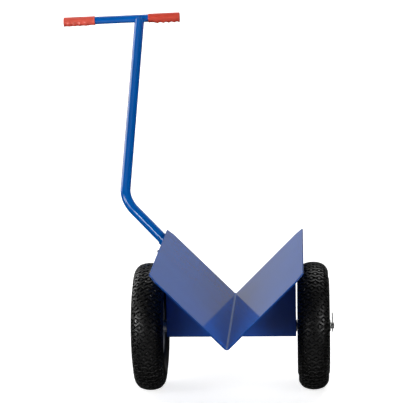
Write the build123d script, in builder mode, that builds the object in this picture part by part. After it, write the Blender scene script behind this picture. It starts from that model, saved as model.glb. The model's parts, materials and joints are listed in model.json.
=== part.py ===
from build123d import *
from math import sqrt, sin, cos, atan2, radians, degrees
import os

# Pipe dolly: a folded V cradle on a box beam, two pneumatic wheels on one axle,
# and a bent T handle that plugs into a socket under the left flank.
# Frame: X to the right, Y to the back, Z up, millimetres.
# Origin: on the ground, under the middle of the axle.

os.makedirs("parts", exist_ok=True)

# ---------------------------------------------------------------- dimensions
# wheels and axle
wheel_r = 200.0          # tyre outer radius
tyre_w = 97.0            # tyre section width
track = 512.0            # between the wheels' mid planes
axle_z = wheel_r         # axle height
axle_d = 20.0
axle_left = -317.0       # axle ends; it sits a little to the right in its tube
axle_right = 321.0
clip_left = -312.0       # cross holes for the R-clips
clip_right = 315.5
axle_hole_d = 4.4
axle_tube_od = 36.0
axle_tube_id = 20.4
hub_od = 38.0
hub_id = 30.0
hub_half = 50.5          # half length of the hub
rim_t = 2.5              # rim sheet
rim_bend = 3.0           # rim inside bend radius
rim_bolt_r = 63.0        # bolt circle radius
rim_bolt_n = 4
roller_d = 4.8
roller_r = 12.5          # roller pitch radius
roller_n = 9
roller_len = 75.0
valve_angle = 35.0       # valve position round the wheel, from the top

# cradle
sheet_t = 5.0
valley_z = 222.0         # inner faces meet here (before the bend)
flank_w = 315.5          # flank width along the inner face
trough_front = -397.0
trough_back = 376.5
clip_across = 28.0       # clipped corner, across the flank
clip_along = 20.0        # clipped corner, along the cradle
fold_r = 6.0             # inside bend radius

# box beam
beam_half_len = 202.0
beam_half_depth = 40.0
beam_bottom = 173.2
beam_t = 4.0
beam_fold_r = 3.0

# handle
stem_od = 33.7
stem_id = 28.5
stem_bend_r = 95.0
stem_cant = 9.6          # socket leans back by this angle in the flank's plane
socket_w = 318.0         # socket's datum line, along the flank from the valley
socket_drop = 25.2       # socket axis below the flank's inner face
socket_y = 313.5         # socket axis at its datum line
socket_od = 40.0
socket_id = 34.3
socket_top = -10.0       # along the socket axis, from its datum line
socket_bottom = -160.0
stem_corner_s = 170.9    # the two straight runs of the stem meet here
stem_low_s = -156.5
tee_point = (-347.0, 900.0, 1111.3)   # stem and cross bar axes meet
stem_short = 12.0        # stem ends this far short of the bar's axis
bar_od = 26.9
bar_id = 22.3
bar_tilt = 1.75          # bar rises to the right
bar_left = 271.3         # left arm, stem axis to grip end
bar_right = 143.0        # right arm
grip_len = 112.0
grip_od = 31.2
grip_wall_end = 3.0
ridge_top = 19.8         # finger ridge, from the grip's axis to its crests
ridge_dip = 16.7         # and to its hollows
ridge_pitch = 19.3       # between crests
ridge_len = 92.0
clamp_s = -34.0          # clamp screw along the socket axis
clamp_out = 36.0         # underside of its head, from the socket axis

# ---------------------------------------------------------------- helpers
q = sqrt(0.5)


def unit(v):
    n = sqrt(sum(c * c for c in v))
    return tuple(c / n for c in v)


def along(p, d, s):
    return tuple(a + b * s for a, b in zip(p, d))


def shift_line(pts, d):
    # open polyline moved sideways by d (left is positive), with mitred corners
    out = []
    for i, p in enumerate(pts):
        a = pts[max(i - 1, 0)]
        b = pts[min(i + 1, len(pts) - 1)]
        t0 = unit((p[0] - a[0], p[1] - a[1])) if i > 0 else unit((b[0] - p[0], b[1] - p[1]))
        t1 = unit((b[0] - p[0], b[1] - p[1])) if i < len(pts) - 1 else t0
        n0, n1 = (-t0[1], t0[0]), (-t1[1], t1[0])
        k = d / (1.0 + n0[0] * n1[0] + n0[1] * n1[1])
        out.append((p[0] + (n0[0] + n1[0]) * k, p[1] + (n0[1] + n1[1]) * k))
    return out


def folded(pts, t, r):
    # both faces of a folded sheet from its middle line, with the bend radii
    left, right = shift_line(pts, t / 2), shift_line(pts, -t / 2)
    rl, rr = [], []
    for i in range(1, len(pts) - 1):
        ax, ay = pts[i][0] - pts[i - 1][0], pts[i][1] - pts[i - 1][1]
        bx, by = pts[i + 1][0] - pts[i][0], pts[i + 1][1] - pts[i][1]
        turn_left = ax * by - ay * bx > 0
        rl.append(r if turn_left else r + t)
        rr.append(r + t if turn_left else r)
    return left, rl, right, rr


def save(piece, label):
    piece.label = label
    export_step(piece, "parts/" + label + ".step")


axle_axis = Axis((0, 0, axle_z), (1, 0, 0))
outer_apex_z = valley_z - sheet_t / q      # outer faces of the flanks meet here
mid_apex_z = valley_z - sheet_t / 2 / q

# ---------------------------------------------------------------- cradle
v_mid = [
    (-(flank_w + sheet_t / 2) * q, mid_apex_z + (flank_w + sheet_t / 2) * q),
    (0.0, mid_apex_z),
    ((flank_w + sheet_t / 2) * q, mid_apex_z + (flank_w + sheet_t / 2) * q),
]
v_left, v_rl, v_right, v_rr = folded(v_mid, sheet_t, fold_r)
with BuildPart() as v_trough:
    with BuildSketch(Plane.XZ.offset(-trough_back)):
        with BuildLine():
            inner = FilletPolyline(*v_left, radius=v_rl)
            outer = FilletPolyline(*v_right, radius=v_rr)
            Line(inner @ 0, outer @ 0)
            Line(inner @ 1, outer @ 1)
        make_face()
    extrude(amount=trough_back - trough_front)
    # clipped outer corners of both flanks
    for side in (-1, 1):
        flank = Plane(origin=(0, 0, valley_z), x_dir=(side * q, 0, q), z_dir=(-side * q, 0, q))
        with BuildSketch(flank):
            for y_end, sgn in ((trough_front, -1), (trough_back, 1)):
                ye, sg = side * y_end, side * sgn
                p1 = (flank_w - clip_across, ye)
                p2 = (flank_w, ye - sg * clip_along)
                dx, dy = p2[0] - p1[0], p2[1] - p1[1]
                Polygon((p1[0] - dx, p1[1] - dy), (p2[0] + dx, p2[1] + dy),
                        (flank_w + 60, ye + sg * 60), align=None)
        extrude(amount=12, both=True, mode=Mode.SUBTRACT)
save(v_trough.part, "v_trough")

# ---------------------------------------------------------------- box beam
notch = [(0, outer_apex_z), (320, outer_apex_z + 320), (-320, outer_apex_z + 320)]
c_y = beam_half_depth - beam_t / 2
c_mid = [(-c_y, 430.0), (-c_y, beam_bottom + beam_t / 2), (c_y, beam_bottom + beam_t / 2), (c_y, 430.0)]
c_left, c_rl, c_right, c_rr = folded(c_mid, beam_t, beam_fold_r)
with BuildPart() as beam_channel:
    with BuildSketch(Plane.YZ.offset(-(beam_half_len - beam_t))):
        with BuildLine():
            inner = FilletPolyline(*c_left, radius=c_rl)
            outer = FilletPolyline(*c_right, radius=c_rr)
            Line(inner @ 0, outer @ 0)
            Line(inner @ 1, outer @ 1)
        make_face()
    extrude(amount=2 * (beam_half_len - beam_t))
    with BuildSketch(Plane.XZ):
        Polygon(*notch, align=None)
    extrude(amount=100, both=True, mode=Mode.SUBTRACT)
save(beam_channel.part, "beam_channel")

for name, side in (("beam_end_left", -1), ("beam_end_right", 1)):
    with BuildPart() as beam_end:
        x0 = side * beam_half_len if side < 0 else beam_half_len - beam_t
        with BuildSketch(Plane.YZ.offset(x0)) as end_sk:
            with Locations((0, (beam_bottom + 430) / 2)):
                Rectangle(2 * beam_half_depth, 430 - beam_bottom)
            fillet(end_sk.vertices().group_by(Axis.Y)[0], beam_fold_r + beam_t)
            with Locations((0, axle_z)):
                Circle(axle_tube_od / 2 + 0.1, mode=Mode.SUBTRACT)
        extrude(amount=beam_t)
        with BuildSketch(Plane.XZ):
            Polygon(*notch, align=None)
        extrude(amount=100, both=True, mode=Mode.SUBTRACT)
    save(beam_end.part, name)

# ---------------------------------------------------------------- axle
with BuildPart() as axle_tube:
    with BuildSketch(Plane.YZ.offset(-beam_half_len)):
        with Locations((0, axle_z)):
            Circle(axle_tube_od / 2)
            Circle(axle_tube_id / 2, mode=Mode.SUBTRACT)
    extrude(amount=2 * beam_half_len)
save(axle_tube.part, "axle_tube")

with BuildPart() as axle:
    with BuildSketch(Plane.YZ.offset(axle_left)):
        with Locations((0, axle_z)):
            Circle(axle_d / 2)
    extrude(amount=axle_right - axle_left)
    chamfer(axle.edges().filter_by(GeomType.CIRCLE), 1.5)
    with BuildSketch(Plane.XY.offset(axle_z)):
        with Locations((clip_left, 0), (clip_right, 0)):
            Circle(axle_hole_d / 2)
    extrude(amount=axle_d, both=True, mode=Mode.SUBTRACT)
save(axle.part, "axle")

hub_in = track / 2 - hub_half        # hub end towards the beam
hub_out = track / 2 + hub_half
with BuildPart() as inner_washers:
    for x0 in (beam_half_len + 0.2, -beam_half_len - 0.2 - 3.0):
        with BuildSketch(Plane.YZ.offset(x0)):
            with Locations((0, axle_z)):
                Circle(18.5)
                Circle(axle_d / 2 + 0.4, mode=Mode.SUBTRACT)
        extrude(amount=3.0)
save(inner_washers.part, "inner_washers")

with BuildPart() as outer_washers:
    for x0 in (hub_out + 0.3, -hub_out - 0.3 - 3.0):
        with BuildSketch(Plane.YZ.offset(x0)):
            with Locations((0, axle_z)):
                Circle(18.0)
                Circle(axle_d / 2 + 0.4, mode=Mode.SUBTRACT)
        extrude(amount=3.0)
save(outer_washers.part, "outer_washers")

# R-clips: a straight leg down through the cross hole, a spring eye above,
# and a bowed leg that wraps the back of the axle
clip_wire = 3.6
eye_r, neck_r, bow_r = 10.0, 4.5, 12.4
neck_y = 10.5                                             # neck centre, behind the axle
neck_z = sqrt((bow_r + neck_r) ** 2 - neck_y ** 2)
eye_z = neck_z + sqrt((eye_r + neck_r) ** 2 - (neck_y - eye_r) ** 2)
eye_sweep = 180.0 + degrees(atan2(eye_z - neck_z, neck_y - eye_r))
neck_sweep = degrees(atan2(-neck_z, -neck_y)) + 360.0 - degrees(atan2(eye_z - neck_z, eye_r - neck_y))
bow_start = degrees(atan2(neck_z, neck_y))
clips = []
for clip_x in (clip_left, clip_right):
    with BuildPart() as r_clip:
        with BuildLine(Plane.YZ.offset(clip_x)) as clip_path:
            leg = Line((0, axle_z - 20), (0, axle_z + eye_z))
            eye = JernArc(leg @ 1, leg % 1, eye_r, -eye_sweep)
            neck = JernArc(eye @ 1, eye % 1, neck_r, neck_sweep)
            bow = JernArc(neck @ 1, neck % 1, bow_r, -(bow_start + 35.0))
            JernArc(bow @ 1, bow % 1, 6.0, 70)
        with BuildSketch(Plane(origin=(clip_x, 0, axle_z - 20), z_dir=(0, 0, 1))):
            Circle(clip_wire / 2)
        sweep(path=clip_path.line)
    clips.append(r_clip.part)
with BuildPart() as r_clips:
    for c in clips:
        add(c)
save(r_clips.part, "r_clips")

# ---------------------------------------------------------------- socket and clamp
cant = radians(stem_cant)
axis_d = (-q * cos(cant), sin(cant), q * cos(cant))            # up the socket
under = (-q, 0.0, -q)                                          # away from the flank's underside
edge_pt = (-(socket_w + socket_drop) * q, socket_y, valley_z + (socket_w - socket_drop) * q)


def on_socket(s, out=0.0):
    return along(along(edge_pt, axis_d, s), under, out)


with BuildPart() as handle_socket:
    with BuildSketch(Plane(origin=on_socket(socket_bottom), z_dir=axis_d)):
        Circle(socket_od / 2)
        Circle(socket_id / 2, mode=Mode.SUBTRACT)
    extrude(amount=socket_top - socket_bottom)
    # way in for the clamp screw's tip
    with BuildSketch(Plane(origin=on_socket(clamp_s), z_dir=under)):
        Circle(5.3)
    extrude(amount=40, mode=Mode.SUBTRACT)
save(handle_socket.part, "handle_socket")

# fillet welds that hold the socket to the flank's underside
flank_n = -(socket_drop - sheet_t)          # flank's outer face, seen from the socket axis
with BuildPart() as socket_welds:
    with BuildSketch(Plane(origin=on_socket(socket_bottom), x_dir=under, z_dir=axis_d)):
        for sg in (-1, 1):
            Polygon((flank_n + 0.02, sg * 3.0), (flank_n + 0.02, sg * 16.5), (flank_n + 5.0, sg * 13.5), align=None)
        Circle(socket_od / 2 + 0.02, mode=Mode.SUBTRACT)
    extrude(amount=socket_top - socket_bottom)
save(socket_welds.part, "socket_welds")

with BuildPart() as socket_end_plate:
    with BuildSketch(Plane(origin=on_socket(socket_bottom - 4.0), z_dir=axis_d)):
        Circle(socket_od / 2)
    extrude(amount=4.0)
save(socket_end_plate.part, "socket_end_plate")

with BuildPart() as clamp_boss:
    with BuildSketch(Plane(origin=on_socket(clamp_s, 17.0), x_dir=axis_d, z_dir=under)):
        RegularPolygon(radius=8.5, side_count=6, major_radius=False)
        Circle(5.1, mode=Mode.SUBTRACT)
    extrude(amount=13.0)
    with BuildSketch(Plane(origin=on_socket(clamp_s - 30), z_dir=axis_d)):
        Circle(socket_od / 2 + 0.02)
    extrude(amount=60, mode=Mode.SUBTRACT)
save(clamp_boss.part, "clamp_boss")

with BuildPart() as clamp_screw:
    with BuildSketch(Plane(origin=on_socket(clamp_s, stem_od / 2 + 0.5), z_dir=under)):
        Circle(4.8)
    extrude(amount=clamp_out + 1.3 - stem_od / 2 - 0.5)
    chamfer(clamp_screw.edges().filter_by(GeomType.CIRCLE).sort_by(Axis(on_socket(clamp_s), under))[0], 1.2)
    with BuildSketch(Plane(origin=on_socket(clamp_s, clamp_out), x_dir=axis_d, z_dir=under)):
        RegularPolygon(radius=8.5, side_count=6, major_radius=False)
    extrude(amount=7.0)
save(clamp_screw.part, "clamp_screw")

# ---------------------------------------------------------------- handle
stem_low = on_socket(stem_low_s)
stem_corner = on_socket(stem_corner_s)
tilt = radians(bar_tilt)
bar_d = (cos(tilt), 0.0, sin(tilt))
bar_l = along(tee_point, bar_d, -bar_left)
bar_r = along(tee_point, bar_d, bar_right)
stem_top = along(tee_point, unit(tuple(c - t for c, t in zip(stem_corner, tee_point))), stem_short)

with BuildPart() as handle_stem:
    with BuildLine() as stem_path:
        FilletPolyline(stem_low, stem_corner, stem_top, radius=stem_bend_r)
    with BuildSketch(Plane(origin=stem_low, z_dir=axis_d)):
        Circle(stem_od / 2)
        Circle(stem_id / 2, mode=Mode.SUBTRACT)
    sweep(path=stem_path.line)
    # saddle for the cross bar
    with BuildSketch(Plane(origin=along(tee_point, bar_d, -60), z_dir=bar_d)):
        Circle(bar_od / 2 + 0.1)
    extrude(amount=120, mode=Mode.SUBTRACT)
save(handle_stem.part, "handle_stem")

with BuildPart() as stem_plug:
    with BuildSketch(Plane(origin=stem_low, z_dir=tuple(-c for c in axis_d))):
        Circle(stem_od / 2 - 0.3)
    extrude(amount=3.0)
    with BuildSketch(Plane(origin=stem_low, z_dir=axis_d)):
        Circle(stem_id / 2 - 0.1)
        Circle(stem_id / 2 - 2.5, mode=Mode.SUBTRACT)
    extrude(amount=18.0)
save(stem_plug.part, "stem_plug")

with BuildPart() as t_bar:
    with BuildSketch(Plane(origin=along(bar_l, bar_d, grip_wall_end + 0.1), z_dir=bar_d)):
        Circle(bar_od / 2)
        Circle(bar_id / 2, mode=Mode.SUBTRACT)
    extrude(amount=bar_left + bar_right - 2 * (grip_wall_end + 0.1))
save(t_bar.part, "t_bar")

# grips: round body with a finger ridge on one side, scalloped between the fingers
scallop_r = ((ridge_pitch / 2) ** 2 + (ridge_top - ridge_dip + 0.2) ** 2) / 2 / (ridge_top - ridge_dip + 0.2)
for name, start, d, ridge in (
    ("grip_left", bar_l, bar_d, (0.0, -0.65, -0.76)),
    ("grip_right", bar_r, tuple(-c for c in bar_d), (0.0, -0.17, -0.98)),
):
    r0 = sum(a * b for a, b in zip(ridge, bar_d))
    ridge = unit(tuple(a - b * r0 for a, b in zip(ridge, bar_d)))
    base = Plane(origin=start, x_dir=ridge, z_dir=d)
    with BuildPart() as grip:
        with BuildSketch(base):
            Circle(grip_od / 2)
            with Locations((ridge_top - grip_od / 2 + 2.0, 0)):
                Circle(grip_od / 2 - 2.0)
        extrude(amount=ridge_len)
        with BuildSketch(base.offset(ridge_len)):
            Circle(grip_od / 2)
        extrude(amount=grip_len - ridge_len)
        # scallops between the finger crests
        side_dir = base.y_dir
        for k in range(4):
            c = along(along(start, d, 1.0 + ridge_pitch * (k + 0.5)), ridge, ridge_dip + scallop_r)
            with BuildSketch(Plane(origin=c, x_dir=d, z_dir=side_dir)):
                Circle(scallop_r)
            extrude(amount=40, both=True, mode=Mode.SUBTRACT)
        with BuildSketch(base.offset(grip_wall_end)):
            Circle(bar_od / 2 + 0.1)
        extrude(amount=grip_len, mode=Mode.SUBTRACT)
    save(grip.part, name)

# ---------------------------------------------------------------- wheels
# profiles are given as (u, r): u outward from the wheel's mid plane, r from the axle
rim_line = [(21.0, hub_od / 2 + 0.1), (21.0, 36.0), (1.25, 52.0), (1.25, 74.0), (8.0, 90.0),
            (18.0, 96.0), (30.25, 100.2), (30.25, 109.0), (35.0, 113.0)]
tyre_out = [(30.0, 193.6), (41.5, 182.5), (48.5, 152.0), (46.2, 130.0), (33.6, 114.2)]
tyre_in = [(28.0, 184.0), (37.0, 174.0), (42.6, 150.0), (39.4, 128.0), (24.0, 110.5)]

for wheel, side in (("left", -1), ("right", 1)):
    def at(u, r, side=side):
        return (side * (track / 2 + u), axle_z + r)

    def place(u, r, phi, side=side):
        a = radians(phi)
        return (side * (track / 2 + u), r * sin(a), axle_z + r * cos(a))

    def turn(u, r, phi, side=side):
        a = radians(phi)
        return (side * u, r * sin(a), r * cos(a))

    with BuildPart() as tyre:
        with BuildSketch(Plane.XZ):
            with BuildLine():
                ThreePointArc(at(-30, 193.6), at(0, wheel_r), at(30, 193.6))
                for s in (1, -1):
                    ThreePointArc(*[at(s * u, r) for u, r in tyre_out[0:3]])
                    ThreePointArc(*[at(s * u, r) for u, r in tyre_out[2:5]])
                    Polyline(at(s * 33.6, 114.2), at(s * 28.6, 111.0), at(s * 28.6, 102.3),
                             at(s * 18.4, 98.6), at(s * 17.0, 103.0), at(s * 24.0, 110.5))
                    ThreePointArc(*[at(s * u, r) for u, r in tyre_in[2:5]])
                    ThreePointArc(*[at(s * u, r) for u, r in tyre_in[0:3]])
                ThreePointArc(at(-28, 184.0), at(0, 190.0), at(28, 184.0))
            make_face()
        revolve(axis=axle_axis)
    save(tyre.part, wheel + "_tyre")

    with BuildPart() as inner_tube:
        with BuildSketch(Plane.XZ):
            with Locations(at(0, 143.5)):
                Ellipse(36.0, 43.5)
                Ellipse(33.5, 41.0, mode=Mode.SUBTRACT)
        revolve(axis=axle_axis)
    save(inner_tube.part, wheel + "_inner_tube")

    valve_o = place(4.6, 82.0, valve_angle)
    valve_d = unit(turn(0.921, -0.389, valve_angle))
    for half, s in (("rim_outer", 1), ("rim_inner", -1)):
        pts = [at(s * u, r) for u, r in rim_line]
        a_pts, a_r, b_pts, b_r = folded(pts, rim_t, rim_bend)
        with BuildPart() as rim:
            with BuildSketch(Plane.XZ):
                with BuildLine():
                    a = FilletPolyline(*a_pts, radius=a_r)
                    b = FilletPolyline(*b_pts, radius=b_r)
                    Line(a @ 0, b @ 0)
                    Line(a @ 1, b @ 1)
                make_face()
            revolve(axis=axle_axis)
            for k in range(rim_bolt_n):
                with BuildSketch(Plane(origin=place(-20, rim_bolt_r, 360 / rim_bolt_n * k), z_dir=(side, 0, 0))):
                    Circle(4.2)
                extrude(amount=40, mode=Mode.SUBTRACT)
            if s > 0:
                with BuildSketch(Plane(origin=along(valve_o, valve_d, -6), z_dir=valve_d)):
                    Circle(4.6)
                extrude(amount=12, mode=Mode.SUBTRACT)
        save(rim.part, wheel + "_" + half)

    with BuildPart() as rim_bolts:
        for k in range(rim_bolt_n):
            phi = 360 / rim_bolt_n * k
            with BuildSketch(Plane(origin=place(2.5, rim_bolt_r, phi), x_dir=turn(0, 1, phi), z_dir=(side, 0, 0))):
                RegularPolygon(radius=6.5, side_count=6, major_radius=False)
            extrude(amount=5.3)
            with BuildSketch(Plane(origin=place(-12.0, rim_bolt_r, phi), z_dir=(side, 0, 0))):
                Circle(4.0)
            extrude(amount=14.5)
    save(rim_bolts.part, wheel + "_rim_bolts")

    with BuildPart() as rim_nuts:
        for k in range(rim_bolt_n):
            phi = 360 / rim_bolt_n * k
            with BuildSketch(Plane(origin=place(-9.0, rim_bolt_r, phi), x_dir=turn(0, 1, phi), z_dir=(side, 0, 0))):
                RegularPolygon(radius=6.5, side_count=6, major_radius=False)
                Circle(4.15, mode=Mode.SUBTRACT)
            extrude(amount=6.5)
    save(rim_nuts.part, wheel + "_rim_nuts")

    with BuildPart() as hub:
        with BuildSketch(Plane(origin=place(-hub_half, 0, 0), z_dir=(side, 0, 0))):
            Circle(hub_od / 2)
            Circle(hub_id / 2, mode=Mode.SUBTRACT)
        extrude(amount=2 * hub_half)
        chamfer(hub.edges().filter_by(GeomType.CIRCLE), 0.8)
    save(hub.part, wheel + "_hub")

    with BuildPart() as roller_cage:
        with BuildSketch(Plane(origin=place(-42, 0, 0), z_dir=(side, 0, 0))):
            Circle(hub_id / 2 - 0.3)
            Circle(axle_d / 2 + 0.4, mode=Mode.SUBTRACT)
        extrude(amount=84)
        for k in range(roller_n):
            with BuildSketch(Plane(origin=place(-roller_len / 2 - 0.3, roller_r, 360 / roller_n * k), z_dir=(side, 0, 0))):
                Circle(roller_d / 2 + 0.25)
            extrude(amount=roller_len + 0.6, mode=Mode.SUBTRACT)
    save(roller_cage.part, wheel + "_roller_cage")

    with BuildPart() as rollers:
        for k in range(roller_n):
            with BuildSketch(Plane(origin=place(-roller_len / 2, roller_r, 360 / roller_n * k), z_dir=(side, 0, 0))):
                Circle(roller_d / 2)
            extrude(amount=roller_len)
    save(rollers.part, wheel + "_rollers")

    with BuildPart() as hub_seals:
        for u0 in (-49.5, 43.0):
            with BuildSketch(Plane(origin=place(u0, 0, 0), z_dir=(side, 0, 0))):
                Circle(hub_id / 2 - 0.05)
                Circle(axle_d / 2 + 0.4, mode=Mode.SUBTRACT)
            extrude(amount=6.5)
    save(hub_seals.part, wheel + "_hub_seals")

    # rubber-based valve: a neck on the inner tube, and a stem out through the rim
    with BuildPart() as valve_stem:
        with BuildSketch(Plane(origin=along(valve_o, valve_d, -5), z_dir=valve_d)):
            Circle(4.2)
        extrude(amount=15)
        with BuildSketch(Plane(origin=along(valve_o, valve_d, 10), z_dir=valve_d)):
            Circle(3.0)
        extrude(amount=14)
        with BuildSketch(Plane(origin=place(0, 83.5, valve_angle), z_dir=turn(0, 1, valve_angle))):
            Circle(3.5)
        extrude(amount=16.0)
    save(valve_stem.part, wheel + "_valve_stem")

    with BuildPart() as valve_cap:
        with BuildSketch(Plane(origin=along(valve_o, valve_d, 15.5), z_dir=valve_d)):
            Circle(4.2)
        extrude(amount=11.5)
        fillet(valve_cap.edges().filter_by(GeomType.CIRCLE).sort_by(Axis(valve_o, valve_d))[-1], 1.5)
        with BuildSketch(Plane(origin=along(valve_o, valve_d, 15.5), z_dir=valve_d)):
            Circle(3.1)
        extrude(amount=9.0, mode=Mode.SUBTRACT)
    save(valve_cap.part, wheel + "_valve_cap")
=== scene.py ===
import bpy
import bmesh
import json
import math
import numpy as np
from mathutils import Vector, Matrix, noise
from mathutils.geometry import delaunay_2d_cdt


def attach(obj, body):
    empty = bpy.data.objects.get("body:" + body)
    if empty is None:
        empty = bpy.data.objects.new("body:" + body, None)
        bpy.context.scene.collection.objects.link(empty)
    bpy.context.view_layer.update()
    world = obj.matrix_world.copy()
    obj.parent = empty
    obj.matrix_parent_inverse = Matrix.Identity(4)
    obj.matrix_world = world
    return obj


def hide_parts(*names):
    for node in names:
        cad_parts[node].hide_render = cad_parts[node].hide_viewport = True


# Pipe dolly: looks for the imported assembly. Metres, X right, Y back, Z up,
# origin on the ground under the middle of the axle.

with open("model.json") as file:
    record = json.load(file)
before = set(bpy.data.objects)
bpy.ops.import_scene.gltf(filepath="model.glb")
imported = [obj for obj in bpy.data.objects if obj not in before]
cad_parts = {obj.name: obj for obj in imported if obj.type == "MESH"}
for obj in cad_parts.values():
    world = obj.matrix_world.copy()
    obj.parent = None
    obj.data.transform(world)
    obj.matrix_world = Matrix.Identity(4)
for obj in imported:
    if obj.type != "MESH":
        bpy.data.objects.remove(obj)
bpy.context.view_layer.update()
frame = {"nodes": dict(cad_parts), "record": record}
nodes = frame["nodes"]
record = frame["record"]
scene = bpy.context.scene
Z = Vector((0, 0, 1))
q = math.sqrt(0.5)
MM = 0.001


# studio: brightness of each bank of light round the object
BANKS = {"bounce": 0.35, "far_back": 0.37, "far_high": 0.31, "zenith": 0.15, "back_top": 1.95, "left_rear": 2.95, "left_d": 4.5,
         "left_b": 1.5, "left_strip": 5.6, "left_c": 0.5, "right_b": 7.4, "right_e": 2.1}
FRONT_WINDOW = 0.115
BAR_STRIP = 0.085
LOW_CARD = 0.012
TYRE_CARD = 0.19
STEM_CARD = 0.085
FLOOR_GLOW = 0.70


# ------------------------------------------------------------------ node helpers
def new_mat(name):
    m = bpy.data.materials.new(name)
    m.use_nodes = True
    nt = m.node_tree
    for n in list(nt.nodes):
        nt.nodes.remove(n)
    out = nt.nodes.new("ShaderNodeOutputMaterial")
    b = nt.nodes.new("ShaderNodeBsdfPrincipled")
    nt.links.new(b.outputs["BSDF"], out.inputs["Surface"])
    return m, nt, b


def coords(nt, scale=(1, 1, 1)):
    tc = nt.nodes.new("ShaderNodeTexCoord")
    mp = nt.nodes.new("ShaderNodeMapping")
    mp.inputs["Scale"].default_value = scale
    nt.links.new(tc.outputs["Object"], mp.inputs["Vector"])
    return mp.outputs["Vector"]


def noise_tex(nt, vec, scale, detail=2.0, rough=0.5, distortion=0.0):
    n = nt.nodes.new("ShaderNodeTexNoise")
    n.inputs["Scale"].default_value = scale
    n.inputs["Detail"].default_value = detail
    n.inputs["Roughness"].default_value = rough
    n.inputs["Distortion"].default_value = distortion
    nt.links.new(vec, n.inputs["Vector"])
    return n.outputs["Fac"]


def voronoi_tex(nt, vec, scale):
    n = nt.nodes.new("ShaderNodeTexVoronoi")
    n.inputs["Scale"].default_value = scale
    nt.links.new(vec, n.inputs["Vector"])
    return n.outputs["Distance"]


def ramp(nt, fac, stops):
    r = nt.nodes.new("ShaderNodeValToRGB")
    e = r.color_ramp.elements
    while len(e) < len(stops):
        e.new(0.5)
    for i, (p, c) in enumerate(stops):
        e[i].position = p
        e[i].color = (*c, 1.0)
    nt.links.new(fac, r.inputs["Fac"])
    return r.outputs["Color"]


def span(nt, val, a, b, c, d):
    n = nt.nodes.new("ShaderNodeMapRange")
    n.inputs["From Min"].default_value = a
    n.inputs["From Max"].default_value = b
    n.inputs["To Min"].default_value = c
    n.inputs["To Max"].default_value = d
    nt.links.new(val, n.inputs["Value"])
    return n.outputs["Result"]


def math_op(nt, op, a, b=None):
    n = nt.nodes.new("ShaderNodeMath")
    n.operation = op
    for i, v in enumerate((a, b)):
        if v is None:
            continue
        if isinstance(v, (int, float)):
            n.inputs[i].default_value = v
        else:
            nt.links.new(v, n.inputs[i])
    return n.outputs[0]


def mix_col(nt, fac, a, b):
    n = nt.nodes.new("ShaderNodeMix")
    n.data_type = "RGBA"
    for i, v in ((0, fac), (6, a), (7, b)):
        if isinstance(v, (int, float)):
            n.inputs[i].default_value = v
        elif isinstance(v, tuple):
            n.inputs[i].default_value = (*v, 1.0)
        else:
            nt.links.new(v, n.inputs[i])
    return n.outputs[2]


def bump(nt, height, strength, distance, normal=None):
    n = nt.nodes.new("ShaderNodeBump")
    n.inputs["Strength"].default_value = strength
    n.inputs["Distance"].default_value = distance
    nt.links.new(height, n.inputs["Height"])
    if normal is not None:
        nt.links.new(normal, n.inputs["Normal"])
    return n.outputs["Normal"]


def attribute(nt, name):
    n = nt.nodes.new("ShaderNodeAttribute")
    n.attribute_name = name
    return n.outputs["Fac"]


# ------------------------------------------------------------------ materials
def powder_coat(name, deep, pale, rough, peel, spec=0.5, rub=None):
    # powder coat: slow drift of tone, orange-peel surface, satin sheen
    m, nt, b = new_mat(name)
    v = coords(nt)
    drift = noise_tex(nt, v, 7.0, 3.0, 0.55)
    speck = noise_tex(nt, v, 900.0, 1.0, 0.5)
    tone = math_op(nt, "MULTIPLY_ADD", drift, 0.8)
    tone.node.inputs[2].default_value = 0.0
    tone = math_op(nt, "ADD", tone, math_op(nt, "MULTIPLY", speck, 0.25))
    col = ramp(nt, tone, [(0.30, deep), (0.72, pale)])
    ro = span(nt, noise_tex(nt, v, 22.0, 4.0, 0.6), 0.3, 0.7, rough[0], rough[1])
    peel_h = noise_tex(nt, v, 420.0, 2.0, 0.5)
    if rub is not None:
        # faint drag marks along the cradle, where loads slide in and out
        vs = coords(nt, (70.0, 1.2, 70.0))
        drag = noise_tex(nt, vs, 1.0, 4.0, 0.55)
        mark = span(nt, drag, 0.52, 0.80, 0.0, 1.0)
        col = mix_col(nt, math_op(nt, "MULTIPLY", mark, rub), col, tuple(min(1.0, c * 1.25 + 0.012) for c in pale))
        ro = math_op(nt, "ADD", ro, math_op(nt, "MULTIPLY", mark, 0.02))
        # pale band along the crease of the bend: a painted highlight of the fold, with dust and rubbing there too
        xyz = nt.nodes.new("ShaderNodeSeparateXYZ")
        nt.links.new(v, xyz.inputs[0])
        near = span(nt, math_op(nt, "ABSOLUTE", xyz.outputs[0]), 0.0012, 0.0031, 1.0, 0.0)
        inside = span(nt, xyz.outputs[2], 0.2222, 0.2232, 0.0, 1.0)
        crease_patches = span(nt, noise_tex(nt, coords(nt, (1.0, 0.35, 1.0)), 60.0, 3.0, 0.6), 0.3, 0.7, 0.75, 1.0)
        painted_light = math_op(nt, "MULTIPLY", math_op(nt, "MULTIPLY", near, inside), math_op(nt, "MULTIPLY", crease_patches, 0.42))
        col = mix_col(nt, painted_light, col, (0.40, 0.50, 0.58))
        ro = math_op(nt, "ADD", ro, math_op(nt, "MULTIPLY", painted_light, 0.25))
    nt.links.new(col, b.inputs["Base Color"])
    nt.links.new(ro, b.inputs["Roughness"])
    b.inputs["Specular IOR Level"].default_value = spec
    nt.links.new(bump(nt, peel_h, peel, 0.0004), b.inputs["Normal"])
    return m


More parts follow.
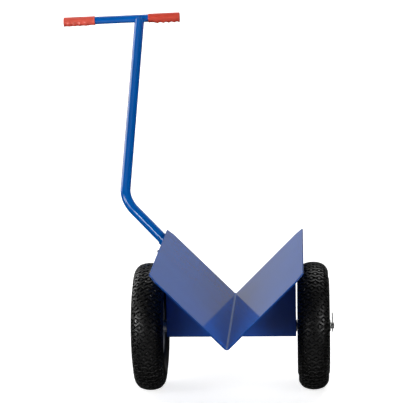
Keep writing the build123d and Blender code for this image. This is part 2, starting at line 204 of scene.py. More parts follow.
def metal(name, dark, light, rough, grain=(1, 1, 1), grain_scale=300.0):
    m, nt, b = new_mat(name)
    v = coords(nt)
    n1 = noise_tex(nt, v, 60.0, 4.0, 0.6)
    g = noise_tex(nt, coords(nt, grain), grain_scale, 3.0, 0.6)
    nt.links.new(ramp(nt, n1, [(0.32, dark), (0.68, light)]), b.inputs["Base Color"])
    b.inputs["Metallic"].default_value = 1.0
    nt.links.new(span(nt, g, 0.3, 0.7, rough[0], rough[1]), b.inputs["Roughness"])
    nt.links.new(bump(nt, g, 0.12, 0.0003), b.inputs["Normal"])
    return m


def moulded(name, deep, pale, rough, grain=700.0, strength=0.15, ior=1.5):
    m, nt, b = new_mat(name)
    v = coords(nt)
    n1 = noise_tex(nt, v, 45.0, 4.0, 0.6)
    g = noise_tex(nt, v, grain, 3.0, 0.6)
    nt.links.new(ramp(nt, n1, [(0.30, deep), (0.70, pale)]), b.inputs["Base Color"])
    nt.links.new(span(nt, g, 0.3, 0.7, rough[0], rough[1]), b.inputs["Roughness"])
    b.inputs["IOR"].default_value = ior
    nt.links.new(bump(nt, g, strength, 0.0004), b.inputs["Normal"])
    return m


def tyre_rubber(name):
    # moulded black rubber: worn, smoother block tops; the groove floors a darker black, painted shade down in the
    # grooves
    m, nt, b = new_mat(name)
    v = coords(nt)
    top = attribute(nt, "tread")
    cloud = noise_tex(nt, v, 30.0, 5.0, 0.65)
    grain = noise_tex(nt, v, 1100.0, 3.0, 0.6)
    body = ramp(nt, cloud, [(0.30, (0.0030, 0.0030, 0.0031)), (0.72, (0.0058, 0.0058, 0.0055))])
    # darker black for the groove floors: painted shade in the grooves
    painted_light = ramp(nt, cloud, [(0.35, (0.0014, 0.0014, 0.0014)), (0.75, (0.0032, 0.0032, 0.0029))])
    nt.links.new(mix_col(nt, top, painted_light, body), b.inputs["Base Color"])
    ro = span(nt, grain, 0.3, 0.7, 0.32, 0.43)
    ro = math_op(nt, "ADD", ro, span(nt, top, 0.0, 1.0, 0.30, 0.0))
    nt.links.new(ro, b.inputs["Roughness"])
    b.inputs["Specular IOR Level"].default_value = 0.42
    nt.links.new(bump(nt, grain, 0.22, 0.0005), b.inputs["Normal"])
    return m


mats = {
    "cradle_paint": powder_coat("cradle_coat", (0.003, 0.092, 0.46), (0.005, 0.114, 0.53), (0.07, 0.11), 0.05, 0.5, rub=0.06),
    # the beam's coat is a darker copy of the cradle's blue: painted shade, the beam standing in the cradle's shadow;
    # the welds take this coat too
    "beam_paint": powder_coat("beam_coat_shaded", (0.003, 0.050, 0.30), (0.005, 0.064, 0.36), (0.30, 0.36), 0.06, 0.22),
    "handle_paint": powder_coat("handle_coat", (0.0010, 0.106, 0.44), (0.0020, 0.126, 0.51), (0.08, 0.11), 0.015, 0.8),
    "zinc_steel": metal("zinc_plate", (0.55, 0.56, 0.57), (0.74, 0.74, 0.72), (0.24, 0.40)),
    "black_steel": metal("black_oxide", (0.010, 0.011, 0.013), (0.022, 0.023, 0.026), (0.34, 0.48)),
    "bearing_steel": metal("bearing_steel", (0.50, 0.51, 0.53), (0.64, 0.65, 0.66), (0.15, 0.28)),
    "tyre_rubber": tyre_rubber("tyre_rubber"),
    "tube_rubber": moulded("tube_rubber", (0.012, 0.012, 0.013), (0.024, 0.024, 0.025), (0.45, 0.6)),
    "rim_paint": powder_coat("rim_coat", (0.37, 0.385, 0.40), (0.46, 0.475, 0.49), (0.28, 0.42), 0.18),
    "grip_red": moulded("grip_red", (0.68, 0.058, 0.030), (0.76, 0.078, 0.042), (0.40, 0.50), 500.0, 0.10),
    "black_plastic": moulded("black_plastic", (0.010, 0.010, 0.011), (0.022, 0.022, 0.023), (0.35, 0.5)),
}
# a darker, duller copy of the blue for the sheared edges: painted shade where they face the front lamps, on a coat that
# is also thin there; and a paler copy of the grip red: painted light on the left grip
edge_shade_coat = powder_coat("sheared_edge_shade_coat", (0.003, 0.055, 0.28), (0.004, 0.068, 0.32), (0.30, 0.40), 0.06, 0.3)
lit_grip = moulded("grip_red_lit_copy", (0.76, 0.096, 0.060), (0.84, 0.122, 0.082), (0.36, 0.46), 500.0, 0.10)
node_slot = {s["node"]: s["material_slot"] for s in record["subparts"]}
node_body = {n: b for b, ns in record["behaviour"]["bodies"].items() for n in ns}
for name, ob in nodes.items():
    ob.data.materials.clear()
    ob.data.materials.append(mats[node_slot[name]])


# ------------------------------------------------------------------ mesh helpers
def link_mesh(name, me, slot, body, angle=math.radians(32)):
    me.materials.clear()
    me.materials.append(mats[slot])
    for p in me.polygons:
        p.use_smooth = True
    me.set_sharp_from_angle(angle=angle)
    ob = bpy.data.objects.new(name, me)
    scene.collection.objects.link(ob)
    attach(ob, body)
    return ob


def mesh_from(name, verts, faces, slot, body, angle=math.radians(32), weld=0.0, flags=None):
    me = bpy.data.meshes.new(name)
    me.from_pydata([tuple(v) for v in verts], [], faces)
    if flags is not None:
        at = me.attributes.new("tread", "FLOAT", "POINT")
        at.data.foreach_set("value", np.array(flags, np.float32))
    bm = bmesh.new()
    bm.from_mesh(me)
    if weld:
        bmesh.ops.remove_doubles(bm, verts=bm.verts, dist=weld)
    bmesh.ops.recalc_face_normals(bm, faces=bm.faces)
    bm.to_mesh(me)
    bm.free()
    return link_mesh(name, me, slot, body, angle)


def softened(name, node, width, segments=2, sharp=30.0):
    # the CAD piece with its sheared and sawn edges broken by a small radius
    src = nodes[node]
    me = src.data.copy()
    me.name = name
    bm = bmesh.new()
    bm.from_mesh(me)
    bmesh.ops.remove_doubles(bm, verts=bm.verts, dist=2e-6)
    bmesh.ops.dissolve_limit(bm, angle_limit=math.radians(0.4), verts=bm.verts, edges=bm.edges)
    edges = [e for e in bm.edges if len(e.link_faces) == 2 and e.calc_face_angle(0.0) > math.radians(sharp)]
    bmesh.ops.bevel(bm, geom=edges, offset=width, offset_type="OFFSET", segments=segments, profile=0.5,
                    affect="EDGES", clamp_overlap=True)
    bmesh.ops.recalc_face_normals(bm, faces=bm.faces)
    bm.to_mesh(me)
    bm.free()
    ob = link_mesh(name, me, node_slot[node], node_body[node], math.radians(24))
    even = ob.modifiers.new("flat_faces", "WEIGHTED_NORMAL")
    even.weight = 96
    even.keep_sharp = True
    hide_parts(node)
    return ob


def loft(name, rings, slot, body, closed=False, angle=math.radians(40)):
    # rings of equal length, each a closed loop; capped unless the loft itself is closed
    n = len(rings[0])
    verts = [v for r in rings for v in r]
    faces = []
    k = len(rings)
    for i in range(k if closed else k - 1):
        a, b = i * n, ((i + 1) % k) * n
        for j in range(n):
            j2 = (j + 1) % n
            faces.append((a + j, a + j2, b + j2, b + j))
    if not closed:
        faces.append(tuple(range(n - 1, -1, -1)))
        faces.append(tuple((k - 1) * n + j for j in range(n)))
    return mesh_from(name, verts, faces, slot, body, angle)


def weld_rings(path, leg, seed, ends=True):
    # path: (corner, a, b) with a and b along the two joined faces; a rippled fillet bead
    rings = []
    run = 0.0
    total = sum((path[i + 1][0] - path[i][0]).length for i in range(len(path) - 1)) if ends else 0.0
    last = path[0][0]
    for i, (c, a, b) in enumerate(path):
        run += (c - last).length
        last = c
        saw = (run / 0.0034) % 1.0
        wob = noise.noise(Vector((run * 90.0, seed * 3.7, 0.3)))
        size = leg * (1.0 + 0.10 * (0.5 - saw) + 0.10 * wob)
        if ends:
            t = min(run, total - run) / (leg * 1.2)
            size *= math.sqrt(max(0.02, min(1.0, t)))
        ring = [c - (a + b) * (0.12 * leg)]
        for k in range(7):
            f = k / 6.0
            bulge = 0.30 * size * math.sin(math.pi * f)
            ring.append(c + a * size * (1 - f) + b * size * f + (a + b).normalized() * (bulge - 0.10 * size))
        ring[1] = c + a * size * 1.02 - b * 0.0004
        ring[7] = c + b * size * 1.02 - a * 0.0004
        rings.append(ring)
    return rings


def straight_weld(name, p0, p1, a, b, leg, slot, body, seed):
    n = max(8, int((p1 - p0).length / 0.0009))
    path = [(p0.lerp(p1, i / n), a, b) for i in range(n + 1)]
    return loft(name, weld_rings(path, leg, seed), slot, body, angle=math.radians(50))


def ring_weld(name, centre, axis, radius, leg, slot, body, seed, flip=1.0):
    # bead round a tube where it stands on a plate; axis points along the tube, away from the plate
    axis = axis.normalized()
    e1 = axis.orthogonal().normalized()
    e2 = axis.cross(e1)
    n = int(2 * math.pi * radius / 0.0011)
    path = []
    for i in range(n):
        t = 2 * math.pi * i / n
        rad = e1 * math.cos(t) + e2 * math.sin(t)
        path.append((centre + rad * radius, rad * flip, axis))
    return loft(name, weld_rings(path, leg, seed, ends=False), slot, body, closed=True, angle=math.radians(50))


# ------------------------------------------------------------------ driving points
FLANK_W, SOCKET_W, SHEET, VALLEY = 0.3155, 0.318, 0.005, 0.222
OUTER_APEX = VALLEY - SHEET / q
CANT = math.radians(9.6)
axis_d = Vector((-q * math.cos(CANT), math.sin(CANT), q * math.cos(CANT)))
under = Vector((-q, 0, -q))
edge_pt = Vector((-(SOCKET_W + 0.0252) * q, 0.3135, VALLEY + (SOCKET_W - 0.0252) * q))
tee = Vector((-0.3470, 0.900, 1.1113))
stem_corner = edge_pt + axis_d * 0.1709
stem_dir = (tee - stem_corner).normalized()
TILT = math.radians(1.75)
bar_d = Vector((math.cos(TILT), 0, math.sin(TILT)))
bar_l = tee - bar_d * 0.2713
bar_r = tee + bar_d * 0.1430
AXLE = Vector((0, 0, 0.200))
TRACK = 0.512

# ------------------------------------------------------------------ sheet metal with broken edges
cradle = softened("cradle_sheet", "v_trough", 0.0009, 3)
# end faces and outer edge strips of the sheet take the darker edge coat: painted shade, on a coat that is also thin
# there
cradle.data.materials.append(edge_shade_coat)
for face in cradle.data.polygons:
    n = face.normal
    if abs(n.y) > 0.75 or (abs(n.y) < 0.02 and n.z > 0.5 and n.x * face.center.x > 0 and face.area < 0.006):
        face.material_index = 1
softened("beam_shell", "beam_channel", 0.0006, 2)
softened("beam_plate_left", "beam_end_left", 0.0007, 2)
softened("beam_plate_right", "beam_end_right", 0.0007, 2)
softened("clamp_bolt", "clamp_screw", 0.0009, 3)
softened("clamp_nut_boss", "clamp_boss", 0.0008, 2)
softened("socket_cap_plate", "socket_end_plate", 0.0008, 2)
softened("socket_tube", "handle_socket", 0.0007, 2)
softened("washers_outer", "outer_washers", 0.0005, 2)
softened("washers_inner", "inner_washers", 0.0005, 2)
for w in ("left", "right"):
    softened(w + "_wheel_bolts", w + "_rim_bolts", 0.0007, 3)
    softened(w + "_wheel_nuts", w + "_rim_nuts", 0.0006, 2)


# ------------------------------------------------------------------ welds
for side, tag in ((-1, "left"), (1, "right")):
    up_flank = Vector((side * q, 0, q))            # up the flank
    away = Vector((side * q, 0, -q))               # out of the flank's outer face
    for face, ys in (("front", -1), ("back", 1)):
        y = ys * 0.040
        p0 = Vector((side * 0.006, y, OUTER_APEX + 0.006))
        p1 = Vector((side * 0.2010, y, OUTER_APEX + 0.2010))
        straight_weld("weld_beam_%s_%s" % (face, tag), p0, p1, Vector((0, ys, 0)), away, 0.0045, "beam_paint", "chassis",
                      1 + side + 2 * ys)
    # end plate to flank
    p0 = Vector((side * 0.202, -0.038, OUTER_APEX + 0.202))
    p1 = Vector((side * 0.202, 0.038, OUTER_APEX + 0.202))
    straight_weld("weld_plate_%s" % tag, p0, p1, up_flank, Vector((0, 0, -1)), 0.0042, "beam_paint", "chassis", 7 + side)
# socket to flank: two long beads, which stand for the plain ones
sock_side = axis_d.cross(under).normalized()
foot = edge_pt - under * 0.0202
for sg in (-1, 1):
    a = sock_side * sg
    c0 = foot + axis_d * -0.1595 + a * 0.0072
    c1 = foot + axis_d * -0.0105 + a * 0.0072
    ob = straight_weld("weld_socket_%s" % ("front" if sg * sock_side.y < 0 else "back"), c0, c1, a,
                       (under + a * 0.75).normalized(), 0.0078, "beam_paint", "chassis", 21 + sg)
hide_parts("socket_welds")
ring_weld("weld_boss", edge_pt + axis_d * -0.036 + under * 0.0196, under, 0.0088, 0.0028, "beam_paint", "chassis", 31)
ring_weld("weld_socket_cap", edge_pt + axis_d * -0.1602, axis_d, 0.0197, 0.0016, "beam_paint", "chassis", 33)


def tee_weld():
    # bead that closes the stem's open end against the cross bar: a rounded lip in front and
    # behind, where the stem stands proud of the bar, and small fillets under the two arms
    side_d = bar_d
    back_d = stem_dir.cross(side_d).normalized()
    ax = side_d.cross(back_d).normalized()
    if ax.dot(stem_dir) < 0:
        ax = -ax
    rs, rb, short = 0.01685, 0.01345, 0.0120
    rings = []
    n = 120
    for i in range(n):
        t = 2 * math.pi * i / n
        e = side_d * math.cos(t) + back_d * math.sin(t)
        u0, v0 = rs * math.cos(t), rs * math.sin(t)
        tuck = math.cos(t) ** 2                    # 1 under the arms, 0 at the lips
        h0 = -short
        if abs(v0) < rb:
            h0 = min(h0, -math.sqrt(rb * rb - v0 * v0))
        wob = 1.0 + 0.08 * noise.noise(Vector((t * 4.0, 0.0, 1.7)))
        rim = tee + e * rs + ax * h0
        leg_s = (0.0012 + 0.0034 * tuck) * wob
        leg_b = 0.0046 * tuck * wob
        p0 = tee + e * (rs - 0.0002) + ax * (h0 - leg_s)
        v = v0 * 0.72
        u = u0 + math.copysign(leg_b, u0)
        rr = rb - 0.0002
        p2 = tee + side_d * u + back_d * v - ax * math.sqrt(rr * rr - v * v)
        ctrl = rim + e * (0.0013 * (1 - tuck) + 0.0008 * tuck) * wob + ax * (0.0016 * (1 - tuck) - 0.0008 * tuck)
        ring = []
        for k in range(11):
            f = k / 10.0
            ring.append(p0 * (1 - f) ** 2 + ctrl * (2 * f * (1 - f)) + p2 * f ** 2)
        ring.append(tee + e * (rs - 0.0020) + ax * (h0 - 0.0018))
        rings.append(ring)
    return loft("weld_tee", rings, "handle_paint", "handle", closed=True, angle=math.radians(60))


tee_weld()


# ------------------------------------------------------------------ grips
def grip(name, node, start, d, ridge, coat=None):
    d = d.normalized()
    e1 = (ridge - d * ridge.dot(d)).normalized()
    e2 = d.cross(e1)
    base, length, bore = 0.0155, 0.112, 0.01356
    nphi = 96
    crests = (0.0010, 0.0203, 0.0396, 0.0589, 0.0795)

    def radius(phi, t):
        a = abs(math.atan2(math.sin(phi), math.cos(phi)))
        broad = math.exp(-(a / 1.12) ** 3.0)           # swell on the finger side
        lobe = math.exp(-(a / 0.66) ** 2.6)            # crests between the fingers
        ends = min(1.0, max(0.0, (0.0985 - t) / 0.013))
        ends = ends * ends * (3 - 2 * ends)
        crest = 0.0
        for k, c in enumerate(crests):             # narrow crests, rounded hollows; the last one runs out
            w = 0.0094 if (k < 4 or t < c) else 0.0160
            crest = max(crest, max(0.0, 1.0 - abs(t - c) / w) ** 1.6)
        flute = 0.0
        if a > 0.95:
            win = min(1.0, max(0.0, (t - 0.008) / 0.004)) * min(1.0, max(0.0, (0.098 - t) / 0.004))
            win *= min(1.0, (a - 0.95) / 0.15)
            flute = 0.00006 * win * math.cos(phi * 34.0)
        collar = 0.0004 * math.exp(-((t - 0.1085) / 0.0018) ** 2)
        return base + 0.0003 * (1 - t / length) + (0.0012 * broad + 0.0034 * crest * lobe) * ends + flute + collar

    def ring(t, fn):
        out = []
        for j in range(nphi):
            phi = 2 * math.pi * j / nphi
            r = fn(phi)
            out.append(start + d * t + (e1 * math.cos(phi) + e2 * math.sin(phi)) * r)
        return out

    rings = []
    rings.append(ring(0.0016, lambda p: 0.0004))
    rings.append(ring(0.0016, lambda p: 0.0026))
    rings.append(ring(0.0006, lambda p: 0.0030))
    rings.append(ring(0.0000, lambda p: 0.0040))
    rings.append(ring(0.0000, lambda p: 0.0085))
    for k in range(6):
        g = k / 5.0 * math.pi / 2
        dr = 0.0026 * (1 - math.sin(g))
        rings.append(ring(0.0026 * (1 - math.cos(g)), lambda p, dr=dr: radius(p, 0.0030) - dr))
    t = 0.0034
    while t < length - 0.0016:
        rings.append(ring(t, lambda p, t=t: radius(p, t)))
        t += 0.0009
    for k in range(1, 4):
        g = k / 3.0 * math.pi / 2
        rings.append(ring(length - 0.0012 * (1 - math.sin(g)), lambda p, g=g: radius(p, length - 0.0012) - 0.0012 * (1 - math.cos(g))))
    rings.append(ring(length, lambda p: bore))
    rings.append(ring(0.0031, lambda p: bore))
    ob = loft(name, rings, "grip_red", "handle", angle=math.radians(48))
    if coat is not None:
        ob.data.materials[0] = coat
    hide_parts(node)
    return ob


# the left grip takes the paler copy of the red: painted light
grip("hand_grip_left", "grip_left", bar_l, bar_d, Vector((0.0, -0.78, -0.62)), lit_grip)
grip("hand_grip_right", "grip_right", bar_r, -bar_d, Vector((0.0, -0.12, -0.99)))


# ------------------------------------------------------------------ tyres
def arc3(p0, p1, p2, n):
    ax, ay = p0; bx, by = p1; cx, cy = p2
    dd = 2 * (ax * (by - cy) + bx * (cy - ay) + cx * (ay - by))
    ux = ((ax * ax + ay * ay) * (by - cy) + (bx * bx + by * by) * (cy - ay) + (cx * cx + cy * cy) * (ay - by)) / dd
    uy = ((ax * ax + ay * ay) * (cx - bx) + (bx * bx + by * by) * (ax - cx) + (cx * cx + cy * cy) * (bx - ax)) / dd
    r = math.hypot(ax - ux, ay - uy)
    a0 = math.atan2(ay - uy, ax - ux)
    a1 = math.atan2(by - uy, bx - ux)
    a2 = math.atan2(cy - uy, cx - ux)
    turn = lambda a, b: (b - a + math.pi) % (2 * math.pi) - math.pi
    sweep = turn(a0, a1) + turn(a1, a2)
    return [(ux + r * math.cos(a0 + sweep * k / n), uy + r * math.sin(a0 + sweep * k / n)) for k in range(n + 1)]


crown = [p for p in arc3((-30, 193.6), (0, 200), (30, 193.6), 120)][60:]
shoulder = arc3((30, 193.6), (41.5, 182.5), (48.5, 152), 90)
wall = arc3((48.5, 152), (46.2, 130), (33.6, 114.2), 60)
half = np.array(crown + shoulder[1:] + wall[1:])
seg = np.hypot(*np.diff(half, axis=0).T)
half_s = np.concatenate([[0], np.cumsum(seg)])
S_END = half_s[-1]
tang = np.gradient(half, half_s, axis=0)
norm = np.stack([-tang[:, 1], tang[:, 0]], 1)
norm[norm[:, 0] * half[:, 0] + norm[:, 1] * (half[:, 1] - 150) < 0] *= -1
for c in range(2):                                   # ease the normals over the joins of the arcs
    padded = np.concatenate([norm[1:13, c][::-1] * (-1 if c == 0 else 1), norm[:, c], np.repeat(norm[-1, c], 12)])
    norm[:, c] = np.convolve(padded, np.ones(25) / 25, "valid")
norm /= np.linalg.norm(norm, axis=1)[:, None]


def profile(s, lift):
    # s: signed distance from the crown over the section, mm; lift: mm along the outward normal
    a = abs(s)
    u = np.interp(a, half_s, half[:, 0]); r = np.interp(a, half_s, half[:, 1])
    nu = np.interp(a, half_s, norm[:, 0]); nr = np.interp(a, half_s, norm[:, 1])
    k = math.hypot(nu, nr)
    sg = 1.0 if s >= 0 else -1.0
    return sg * (u + nu / k * lift), r + nr / k * lift


TILES = 30
PERIOD = 2 * math.pi * 200.0 / TILES
COL = 12.2
COLS = 5
EDGE = (COLS + 0.5) * COL
DEEP = 5.6
SLOPE, BAR_T, TIP = 0.66, 4.0, 0.8
SWING = SLOPE * COL / 2
GEM_W, GEM_H = 5.9, 6.9
RIM_STEPS = 10
ZIG = 2 * PERIOD / RIM_STEPS


def smooth01(x):
    x = max(0.0, min(1.0, x))
    return x * x * (3 - 2 * x)


def zigzag(x, row):
    # height of a row's zigzag line at a place across the tread
    i = math.floor(x / COL - 0.5)
    f = x / COL - 0.5 - i
    sign = 1 if (i + row) % 2 == 0 else -1
    return sign * SWING * (1 - 2 * f)


def block_height(x):
    # the blocks run out towards the shoulders
    return DEEP - 1.3 * smooth01((abs(x) - EDGE + 11.0) / 10.0)


def tread_tile():
    # one period of the tread in (s, c), flat: groove floor, two zigzag ribs, and studs between them
    pts, edges = [], []

    def add_loop(loop):
        k0 = len(pts)
        pts.extend(loop)
        for k in range(len(loop)):
            edges.append((k0 + k, k0 + (k + 1) % len(loop)))

    low = []
    for i in range(-COLS - 1, COLS + 1):
        low.append(((i + 0.5) * COL, ZIG if i % 2 == 0 else 0.0))
    rim_l = [(-EDGE, low[0][1] + PERIOD * k / RIM_STEPS) for k in range(1, RIM_STEPS)]
    rim_r = [(EDGE, low[-1][1] + PERIOD * k / RIM_STEPS) for k in range(1, RIM_STEPS)]
    high = [(x, c + PERIOD) for x, c in low]
    outline = low + rim_r + high[::-1] + rim_l[::-1]
    add_loop(outline)

    # zigzag ribs: stations across the tread, with the tips of the zigzag cut flat
    far = EDGE - 1.6
    stations = [-far]
    for i in range(-COLS, COLS):
        x = (i + 0.5) * COL
        stations += [x - COL / 2, x - TIP, x + TIP]
    stations += [COLS * COL, far]
    ribs = []
    for row, mid in ((0, PERIOD * 0.25), (1, PERIOD * 0.75)):
        line = []
        for x in stations:
            near = round(x / COL - 0.5)
            xb = (near + 0.5) * COL
            if abs(x - xb) <= TIP + 1e-6:
                sign = 1 if (near + row) % 2 == 0 else -1
                line.append((x, mid + sign * (SWING - SLOPE * TIP)))
            else:
                line.append((x, mid + zigzag(x, row)))
        ribs.append(line)
        add_loop([(x, c - BAR_T) for x, c in line] + [(x, c + BAR_T) for x, c in line[::-1]])

    def cut(poly, amount):
        # knocks the corners off a polygon
        out = []
        n = len(poly)
        for k in range(n):
            p = Vector(poly[k]); a = Vector(poly[k - 1]); b = Vector(poly[(k + 1) % n])
            out.append(tuple(p + (a - p).normalized() * amount))
            out.append(tuple(p + (b - p).normalized() * amount))
        return out

    studs = []
    for i in range(-COLS, COLS):
        x = (i + 0.5) * COL
        c = PERIOD if i % 2 == 0 else PERIOD / 2
        studs.append(cut([(x - GEM_W, c), (x, c - GEM_H), (x + GEM_W, c), (x, c + GEM_H)], 1.0))
    for poly in studs:
        add_loop(poly)
    vs, es, fs, ov, oe, of = delaunay_2d_cdt([Vector(p) for p in pts], edges, [], 0, 1e-6)

    def inside(p, poly):
        hit = False
        n = len(poly)
        for k in range(n):
            x1, y1 = poly[k]; x2, y2 = poly[(k + 1) % n]
            if (y1 > p[1]) != (y2 > p[1]) and p[0] < (x2 - x1) * (p[1] - y1) / (y2 - y1) + x1:
                hit = not hit
        return hit

    shapes = [[(x, c - BAR_T) for x, c in line] + [(x, c + BAR_T) for x, c in line[::-1]] for line in ribs] + studs
    verts = [(v[0], v[1], -DEEP, 0.0) for v in vs]
    index = {(round(v[0], 4), round(v[1], 4)): k for k, v in enumerate(vs)}
    faces = []
    for f in fs:
        c = (sum(vs[k][0] for k in f) / len(f), sum(vs[k][1] for k in f) / len(f))
        if inside(c, outline) and not any(inside(c, b) for b in shapes):
            faces.append(tuple(f))

    def base(p):
        return index[(round(p[0], 4), round(p[1], 4))]

    for line in ribs:
        n = len(line)
        rings = [([base((x, c - BAR_T)) for x, c in line], [base((x, c + BAR_T)) for x, c in line])]
        for amount, drop, flag in ((0.55, 0.6, 0.85), (1.05, 0.0, 1.0)):
            lo, hi = [], []
            for k, (x, c) in enumerate(line):
                if k == 0:
                    x += amount
                if k == n - 1:
                    x -= amount
                h = -DEEP + block_height(x) - drop
                t = BAR_T - 1.18 * amount
                lo.append(len(verts)); verts.append((x, c - t, h, flag))
                hi.append(len(verts)); verts.append((x, c + t, h, flag))
            rings.append((lo, hi))
        for (l0, h0), (l1, h1) in zip(rings, rings[1:]):
            for k in range(n - 1):
                faces.append((l0[k], l0[k + 1], l1[k + 1], l1[k]))
                faces.append((h0[k + 1], h0[k], h1[k], h1[k + 1]))
            faces.append((h0[0], l0[0], l1[0], h1[0]))
            faces.append((l0[-1], h0[-1], h1[-1], l1[-1]))
        lo, hi = rings[-1]
        for k in range(n - 1):
            faces.append((lo[k], lo[k + 1], hi[k + 1], hi[k]))

    def inset(poly, amount):
        n = len(poly)
        area = sum(poly[k][0] * poly[(k + 1) % n][1] - poly[(k + 1) % n][0] * poly[k][1] for k in range(n))
        sg = 1 if area > 0 else -1
        out = []
        for k in range(n):
            p = Vector(poly[k]); a = Vector(poly[k - 1]); b = Vector(poly[(k + 1) % n])
            d0 = (p - a).normalized(); d1 = (b - p).normalized()
            n0 = Vector((-d0.y, d0.x)) * sg; n1 = Vector((-d1.y, d1.x)) * sg
            out.append(tuple(p + (n0 + n1) * (amount / (1.0 + n0.dot(n1)))))
        return out

    for poly in studs:
        rings = [[base(p) for p in poly]]
        for amount, drop, flag in ((0.55, 0.6, 0.85), (1.05, 0.0, 1.0)):
            k0 = len(verts)
            for p in inset(poly, amount):
                verts.append((p[0], p[1], -DEEP + block_height(p[0]) - drop, flag))
            rings.append(list(range(k0, k0 + len(poly))))
        for r0, r1 in zip(rings, rings[1:]):
            n = len(r0)
            for k in range(n):
                faces.append((r0[k], r0[(k + 1) % n], r1[(k + 1) % n], r1[k]))
        faces.append(tuple(rings[-1]))
    return verts, faces


TILE_V, TILE_F = tread_tile()


def wall_lift(s):
    # the side wall starts at the groove floor and swells out, with moulded rings
    out = -DEEP * (1 - smooth01((s - EDGE) / 15.0))
    r = float(np.interp(s, half_s, half[:, 1]))
    for r0, width, high in ((146.0, 1.6, 0.8), (141.5, 1.6, 0.8), (120.5, 2.2, 1.0)):
        out += high * math.exp(-((r - r0) / width) ** 4)
    return out


def tyre(name, node, side, body):
    x0 = side * TRACK / 2

    def place(s, c, lift):
        u, r = profile(s, lift)
        a = c / 200.0
        return ((x0 + side * u * MM), r * MM * math.sin(a), AXLE.z + r * MM * math.cos(a))

    verts, faces, flags = [], [], []
    for t in range(TILES):
        k0 = len(verts)
        for s, c, h, flag in TILE_V:
            verts.append(place(s, c + t * PERIOD, h))
            flags.append(flag)
        for f in TILE_F:
            faces.append(tuple(k0 + k for k in f))
    # side walls, beads and the inside, one closed strip from edge to edge
    line = []
    side_s = list(np.linspace(EDGE, S_END, 46))
    for s in side_s:
        line.append(profile(s, wall_lift(s)))
    line += [(28.6, 111.0), (28.6, 102.3), (18.4, 98.6), (17.0, 103.0), (24.0, 110.5)]
    line += arc3((24.0, 110.5), (39.4, 128.0), (42.6, 150.0), 8)[1:]
    line += arc3((42.6, 150.0), (37.0, 174.0), (28.0, 184.0), 8)[1:]
    mid = arc3((28.0, 184.0), (0.0, 190.0), (-28.0, 184.0), 10)[1:-1]
    full = line + mid + [(-u, r) for u, r in line[::-1]]
    steps = TILES * RIM_STEPS
    k0 = len(verts)
    for u, r in full:
        for k in range(steps):
            a = k * PERIOD / RIM_STEPS / 200.0
            verts.append((x0 + side * u * MM, r * MM * math.sin(a), AXLE.z + r * MM * math.cos(a)))
            flags.append(0.55)
    for i in range(len(full) - 1):
        for k in range(steps):
            k2 = (k + 1) % steps
            faces.append((k0 + i * steps + k, k0 + i * steps + k2, k0 + (i + 1) * steps + k2, k0 + (i + 1) * steps + k))
    ob = mesh_from(name, verts, faces, "tyre_rubber", body, angle=math.radians(28), weld=2e-6, flags=flags)
    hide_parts(node)
    return ob


tyre("left_tread_tyre", "left_tyre", -1, "left_wheel")
tyre("right_tread_tyre", "right_tyre", 1, "right_wheel")

# ------------------------------------------------------------------ stage
floor_me = bpy.data.meshes.new("studio_floor")
bm = bmesh.new()
bmesh.ops.create_circle(bm, cap_ends=True, radius=40.0, segments=128)
bm.to_mesh(floor_me)
bm.free()
floor = bpy.data.objects.new("studio_floor", floor_me)
scene.collection.objects.link(floor)
fm, fnt, fb = new_mat("pale_floor")
fv = coords(fnt)
fnt.links.new(ramp(fnt, noise_tex(fnt, fv, 3.0, 3.0), [(0.3, (0.86, 0.86, 0.86)), (0.7, (0.88, 0.88, 0.88))]), fb.inputs["Base Color"])
fb.inputs["Roughness"].default_value = 0.9
fb.inputs["Specular IOR Level"].default_value = 0.1
fb.inputs["Emission Color"].default_value = (1.0, 1.0, 1.0, 1.0)
fb.inputs["Emission Strength"].default_value = FLOOR_GLOW
floor_me.materials.append(fm)

# pale wall round the floor, for low views; it takes no part in the lighting
wall_me = bpy.data.meshes.new("studio_wall")
bm = bmesh.new()
bmesh.ops.create_cone(bm, cap_ends=False, radius1=39.9, radius2=39.9, depth=60.0, segments=128)
bm.to_mesh(wall_me)
bm.free()
wall = bpy.data.objects.new("studio_wall", wall_me)
wall.location = (0.0, 0.0, 29.9)
scene.collection.objects.link(wall)
wm, wnt, wb = new_mat("pale_wall")
wv = coords(wnt)
wnt.links.new(ramp(wnt, noise_tex(wnt, wv, 3.0, 3.0), [(0.3, (0.86, 0.86, 0.86)), (0.7, (0.88, 0.88, 0.88))]), wb.inputs["Base Color"])
wb.inputs["Roughness"].default_value = 0.9
wb.inputs["Emission Color"].default_value = (1.0, 1.0, 1.0, 1.0)
wb.inputs["Emission Strength"].default_value = 1.0
wall_me.materials.append(wm)
wall.visible_diffuse = wall.visible_glossy = wall.visible_transmission = wall.visible_shadow = False
# the paint mirrors the studio, not the white sweep
floor.visible_diffuse = False
floor.visible_glossy = False
floor.visible_shadow = False

# ------------------------------------------------------------------ light
world = bpy.data.worlds.new("studio")
scene.world = world
world.use_nodes = True
wt = world.node_tree
for n in list(wt.nodes):
    wt.nodes.remove(n)
wo = wt.nodes.new("ShaderNodeOutputWorld")
bg = wt.nodes.new("ShaderNodeBackground")
wt.links.new(bg.outputs[0], wo.inputs[0])
tc = wt.nodes.new("ShaderNodeTexCoord")
sep = wt.nodes.new("ShaderNodeSeparateXYZ")
wt.links.new(tc.outputs["Generated"], sep.inputs[0])
dx, dy, dz = sep.outputs[0], sep.outputs[1], sep.outputs[2]


def ease(val, a, b):
    n = wt.nodes.new("ShaderNodeMapRange")
    n.interpolation_type = "SMOOTHSTEP"
    n.inputs["From Min"].default_value = a
    n.inputs["From Max"].default_value = b
    wt.links.new(val, n.inputs["Value"])
    return n.outputs["Result"]


def facing(direction):
    n = wt.nodes.new("ShaderNodeVectorMath")
    n.operation = "DOT_PRODUCT"
    wt.links.new(tc.outputs["Generated"], n.inputs[0])
    n.inputs[1].default_value = Vector(direction).normalized()
    return n.outputs["Value"]


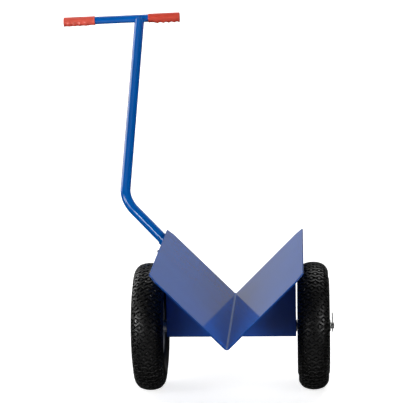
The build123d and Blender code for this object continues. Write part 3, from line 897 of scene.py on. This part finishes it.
def lobe(direction, inner, outer):
    # a soft round bank of light about a direction, angles in degrees
    return ease(facing(direction), math.cos(math.radians(outer)), math.cos(math.radians(inner)))


def stripe(pole, middle, inner, outer, reach):
    # a long narrow bank on the great circle about a pole, angles in degrees from its line
    a, b = math.sin(math.radians(outer)), math.sin(math.radians(inner))
    lat = facing(pole)
    return both(both(ease(lat, -a, -b), ease(lat, a, b)), lobe(middle, reach - 4.0, reach))


def both(a, b):
    return math_op(wt, "MULTIPLY", a, b)


def toward(azimuth, elevation):
    # degrees: azimuth from the front, positive to the right
    a, e = math.radians(azimuth), math.radians(elevation)
    return (math.sin(a) * math.cos(e), -math.cos(a) * math.cos(e), math.sin(e))


banks = {
    "far_back": both(both(ease(dz, -0.20, -0.06), ease(dz, 0.075, -0.005)), ease(dy, 0.84, 0.94)),
    "far_high": both(both(ease(dz, 0.01, 0.08), ease(dz, 0.30, 0.17)), ease(dy, 0.84, 0.94)),
    "bounce": lobe(toward(0, -42), 18.0, 40.0),
    "zenith": lobe((0.0, 0.0, 1.0), 12.0, 30.0),
    "back_top": lobe((0.22, 0.50, 0.84), 14.0, 32.0),
    "left_rear": lobe((-0.70, 0.56, 0.44), 14.0, 28.0),
    "left_b": lobe(toward(-48, 8), 8.0, 15.0),
    "left_c": lobe(toward(-48, 30), 8.0, 15.0),
    "right_e": lobe(toward(58, 22), 10.0, 20.0),
    "left_d": lobe(toward(-72, 14), 8.0, 15.0),
    "left_strip": stripe((-0.559, 0.135, -0.818), (-0.60, -0.74, 0.29), 3.0, 6.0, 25.0),
    "right_b": lobe(toward(44, 14), 8.0, 15.0),
}
total = None
for key, weight in BANKS.items():
    part = math_op(wt, "MULTIPLY", banks[key], weight)
    total = part if total is None else math_op(wt, "ADD", total, part)
wt.links.new(total, bg.inputs["Color"])
bg.inputs["Strength"].default_value = 1.0


def panel(name, pos, target, along, size_x, size_y, power, spread=180.0, mirrored=True):
    # a flat lamp facing the target, its long side along the given direction
    li = bpy.data.lights.new(name, "AREA")
    li.shape = "RECTANGLE"
    li.size, li.size_y = size_x, size_y
    li.energy = power
    li.spread = math.radians(spread)
    ob = bpy.data.objects.new(name, li)
    z = (Vector(pos) - Vector(target)).normalized()
    x = (along - z * along.dot(z)).normalized()
    ob.matrix_world = Matrix.Translation(pos) @ Matrix((x, z.cross(x), z)).transposed().to_4x4()
    ob.visible_camera = False
    ob.visible_glossy = mirrored
    scene.collection.objects.link(ob)


panel("front_window", (-1.04, -2.14, 0.60), (-0.29, 0.33, 0.50), Vector((0.70, 0.18, 0.69)), 0.52, 0.34, FRONT_WINDOW, 24.0)
panel("bar_strip", (-1.58, -0.26, 0.49), (-0.42, 0.90, 1.111), Vector((1.0, 0.0, 0.0)), 0.34, 0.16, BAR_STRIP, 9.0)
panel("low_card", (0.0, -0.75, 0.02), (0.0, -0.06, 0.14), Vector((1.0, 0.0, 0.0)), 0.22, 0.10, LOW_CARD, 40.0)
panel("tyre_card", (-1.55, -0.85, 0.50), (-0.29, -0.06, 0.28), Z, 0.30, 0.22, TYRE_CARD, 18.0)
panel("stem_card", (-1.20, -0.60, 0.05), (-0.29, 0.31, 0.47), Z, 0.40, 0.40, STEM_CARD, 16.0, mirrored=False)

# ------------------------------------------------------------------ camera
yaw, pitch, roll = math.radians(3.223), math.radians(9.309), math.radians(-1.059)
right0 = Vector((math.cos(yaw), math.sin(yaw), 0))
fwd0 = Vector((-math.sin(yaw), math.cos(yaw), 0))
fwd = fwd0 * math.cos(pitch) - Z * math.sin(pitch)
up0 = Z * math.cos(pitch) + fwd0 * math.sin(pitch)
right = right0 * math.cos(roll) + up0 * math.sin(roll)
up = up0 * math.cos(roll) - right0 * math.sin(roll)
cam_data = bpy.data.cameras.new("photo_camera")
cam_data.sensor_fit = "HORIZONTAL"
cam_data.sensor_width = 36.0
cam_data.lens = 1827.91 / 400.0 * 36.0
cam_data.clip_start, cam_data.clip_end = 0.1, 200.0
cam = bpy.data.objects.new("photo_camera", cam_data)
m = Matrix((right, up, -fwd)).transposed().to_4x4()
m.translation = Vector((0.22251, -5.60388, 1.51704))
cam.matrix_world = m
scene.collection.objects.link(cam)
scene.camera = cam
scene.view_settings.view_transform = "Standard"
scene.view_settings.look = "None"
